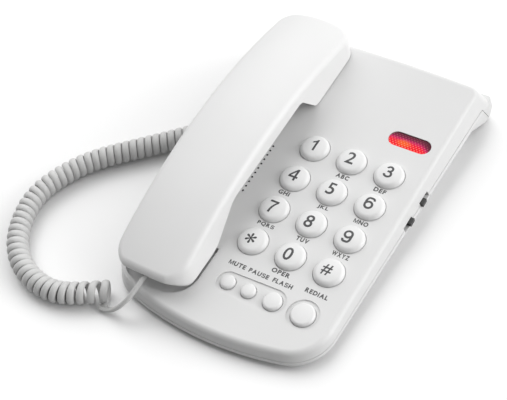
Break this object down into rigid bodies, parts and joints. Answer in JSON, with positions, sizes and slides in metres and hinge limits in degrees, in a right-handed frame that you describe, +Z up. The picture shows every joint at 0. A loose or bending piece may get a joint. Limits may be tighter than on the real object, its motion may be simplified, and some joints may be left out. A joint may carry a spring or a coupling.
{
  "type": "corded desk telephone",
  "caption": "Corded desk telephone: flat white base with keypad, function buttons, lamp and side slide switches, handset resting in its cradle, curly cord between handset and base.",
  "frame": {"origin": "on the desk under the middle of the telephone, measured without its cord", "axes": "+X to the user's right, +Y away from the user along the base, +Z up"},
  "size_m": [0.2065, 0.2206, 0.0495],
  "materials": {
    "base_plastic": "satin moulded plastic, off-white",
    "handset_plastic": "satin moulded plastic, off-white",
    "key_plastic": "satin moulded plastic, printed legends",
    "foot_rubber": "moulded rubber",
    "mat_rubber": "moulded silicone rubber",
    "steel": "zinc plated",
    "board": "phenolic paper board",
    "red_lens": "tinted, textured",
    "black_plastic": "moulded plastic",
    "jack_plastic": "moulded plastic",
    "clear_plastic": "clear moulded plastic",
    "cord_vinyl": "soft vinyl jacket"
  },
  "bodies": {
    "base": {"base_top_housing": "base_plastic", "base_bottom_housing": "base_plastic", "rubber_feet": "foot_rubber", "housing_screws": "steel", "main_board": "board", "board_screws": "steel", "key_mat": "mat_rubber", "lamp_lens": "red_lens", "lamp_led": "red_lens", "ringer_sounder": "black_plastic", "ringer_switch_body": "black_plastic", "dial_mode_switch_body": "black_plastic", "hook_switch": "black_plastic", "line_jack": "jack_plastic", "base_handset_jack": "jack_plastic", "cord_plug_base": "clear_plastic", "cord_coil": "cord_vinyl", "cord_lead_handset": "cord_vinyl", "cord_lead_base": "cord_vinyl"},
    "handset": {"handset_back_shell": "handset_plastic", "handset_front_shell": "handset_plastic", "handset_screws": "steel", "receiver_gasket": "foot_rubber", "receiver_capsule": "black_plastic", "microphone_boot": "foot_rubber", "microphone": "black_plastic", "weight_bar": "steel", "handset_jack": "jack_plastic", "cord_plug_handset": "clear_plastic"},
    "hook_plunger": {"hook_plunger": "base_plastic"},
    "ringer_switch_knob": {"ringer_switch_knob": "black_plastic"},
    "dial_mode_switch_knob": {"dial_mode_switch_knob": "black_plastic"},
    "key_1": {"key_1": "key_plastic"},
    "key_2": {"key_2": "key_plastic"},
    "key_3": {"key_3": "key_plastic"},
    "key_4": {"key_4": "key_plastic"},
    "key_5": {"key_5": "key_plastic"},
    "key_6": {"key_6": "key_plastic"},
    "key_7": {"key_7": "key_plastic"},
    "key_8": {"key_8": "key_plastic"},
    "key_9": {"key_9": "key_plastic"},
    "key_star": {"key_star": "key_plastic"},
    "key_0": {"key_0": "key_plastic"},
    "key_hash": {"key_hash": "key_plastic"},
    "mute_button": {"mute_button": "key_plastic"},
    "pause_button": {"pause_button": "key_plastic"},
    "flash_button": {"flash_button": "key_plastic"},
    "redial_button": {"redial_button": "key_plastic"}
  },
  "joints": [
    {"name": "handset_lift", "type": "slide", "parent": "base", "child": "handset", "axis": [0, -0.075, 0.9972], "range_m": [0, 0.06]},
    {"name": "hook_plunger_rise", "type": "slide", "parent": "base", "child": "hook_plunger", "axis": [0, -0.075, 0.9972], "range_m": [0, 0.004]},
    {"name": "ringer_switch_slide", "type": "slide", "parent": "base", "child": "ringer_switch_knob", "axis": [0, 0.9972, 0.075], "range_m": [0, 0.004]},
    {"name": "dial_mode_switch_slide", "type": "slide", "parent": "base", "child": "dial_mode_switch_knob", "axis": [0, -0.9972, -0.075], "range_m": [0, 0.004]},
    {"name": "key_1_press", "type": "slide", "parent": "base", "child": "key_1", "axis": [0, 0.075, -0.9972], "range_m": [0, 0.0015], "stiffness_N_per_m": 400, "deforming": ["key_mat"]},
    {"name": "key_2_press", "type": "slide", "parent": "base", "child": "key_2", "axis": [0, 0.075, -0.9972], "range_m": [0, 0.0015], "stiffness_N_per_m": 400, "deforming": ["key_mat"]},
    {"name": "key_3_press", "type": "slide", "parent": "base", "child": "key_3", "axis": [0, 0.075, -0.9972], "range_m": [0, 0.0015], "stiffness_N_per_m": 400, "deforming": ["key_mat"]},
    {"name": "key_4_press", "type": "slide", "parent": "base", "child": "key_4", "axis": [0, 0.075, -0.9972], "range_m": [0, 0.0015], "stiffness_N_per_m": 400, "deforming": ["key_mat"]},
    {"name": "key_5_press", "type": "slide", "parent": "base", "child": "key_5", "axis": [0, 0.075, -0.9972], "range_m": [0, 0.0015], "stiffness_N_per_m": 400, "deforming": ["key_mat"]},
    {"name": "key_6_press", "type": "slide", "parent": "base", "child": "key_6", "axis": [0, 0.075, -0.9972], "range_m": [0, 0.0015], "stiffness_N_per_m": 400, "deforming": ["key_mat"]},
    {"name": "key_7_press", "type": "slide", "parent": "base", "child": "key_7", "axis": [0, 0.075, -0.9972], "range_m": [0, 0.0015], "stiffness_N_per_m": 400, "deforming": ["key_mat"]},
    {"name": "key_8_press", "type": "slide", "parent": "base", "child": "key_8", "axis": [0, 0.075, -0.9972], "range_m": [0, 0.0015], "stiffness_N_per_m": 400, "deforming": ["key_mat"]},
    {"name": "key_9_press", "type": "slide", "parent": "base", "child": "key_9", "axis": [0, 0.075, -0.9972], "range_m": [0, 0.0015], "stiffness_N_per_m": 400, "deforming": ["key_mat"]},
    {"name": "key_star_press", "type": "slide", "parent": "base", "child": "key_star", "axis": [0, 0.075, -0.9972], "range_m": [0, 0.0015], "stiffness_N_per_m": 400, "deforming": ["key_mat"]},
    {"name": "key_0_press", "type": "slide", "parent": "base", "child": "key_0", "axis": [0, 0.075, -0.9972], "range_m": [0, 0.0015], "stiffness_N_per_m": 400, "deforming": ["key_mat"]},
    {"name": "key_hash_press", "type": "slide", "parent": "base", "child": "key_hash", "axis": [0, 0.075, -0.9972], "range_m": [0, 0.0015], "stiffness_N_per_m": 400, "deforming": ["key_mat"]},
    {"name": "mute_button_press", "type": "slide", "parent": "base", "child": "mute_button", "axis": [0, 0.075, -0.9972], "range_m": [0, 0.0015], "stiffness_N_per_m": 400, "deforming": ["key_mat"]},
    {"name": "pause_button_press", "type": "slide", "parent": "base", "child": "pause_button", "axis": [0, 0.075, -0.9972], "range_m": [0, 0.0015], "stiffness_N_per_m": 400, "deforming": ["key_mat"]},
    {"name": "flash_button_press", "type": "slide", "parent": "base", "child": "flash_button", "axis": [0, 0.075, -0.9972], "range_m": [0, 0.0015], "stiffness_N_per_m": 400, "deforming": ["key_mat"]},
    {"name": "redial_button_press", "type": "slide", "parent": "base", "child": "redial_button", "axis": [0, 0.075, -0.9972], "range_m": [0, 0.0015], "stiffness_N_per_m": 400, "deforming": ["key_mat"]}
  ],
  "couplings": [
    {"joint": "hook_plunger_rise", "follows": "handset_lift", "ratio": 0.0666}
  ]
}
